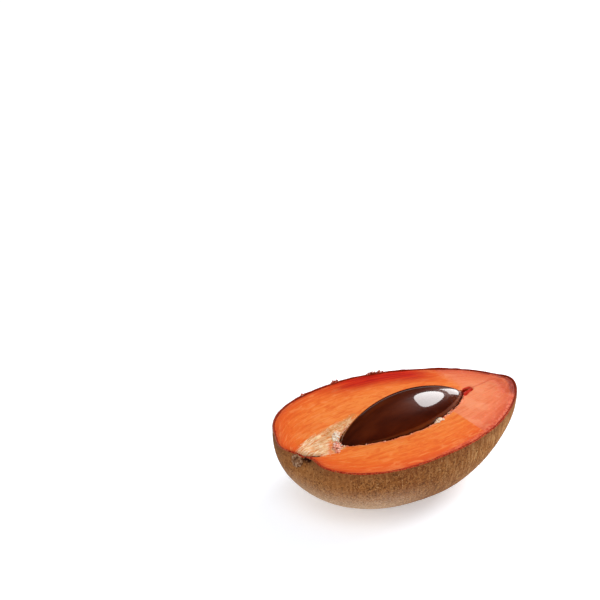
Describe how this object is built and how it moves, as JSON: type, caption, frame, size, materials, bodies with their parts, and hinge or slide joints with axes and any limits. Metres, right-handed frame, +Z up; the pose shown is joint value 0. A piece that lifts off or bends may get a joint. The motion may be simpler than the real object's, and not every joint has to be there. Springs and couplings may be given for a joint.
{
  "type": "mamey sapote half with seed",
  "caption": "Half of a mamey sapote, cut along its length, with orange flesh, rough brown skin, a stem scar and its glossy dark seed; lies on its rounded belly.",
  "frame": {"origin": "on the surface that the half lies on, under the middle of its outer box", "axes": "+X from the stem end to the pointed end, +Y to the wider side of the half, +Z up, out of the cut face"},
  "size_m": [0.152, 0.0968, 0.0551],
  "materials": {
    "flesh_and_skin": "moist orange flesh with fine fibres",
    "skin": "rough brown scurfy skin",
    "core_tissue": "pale fibrous core",
    "stem_scar": "dry woody scar",
    "seed_coat": "polished dark brown seed coat"
  },
  "bodies": {
    "root": {"fruit_half": "flesh_and_skin", "seed": "seed_coat"}
  },
  "joints": []
}
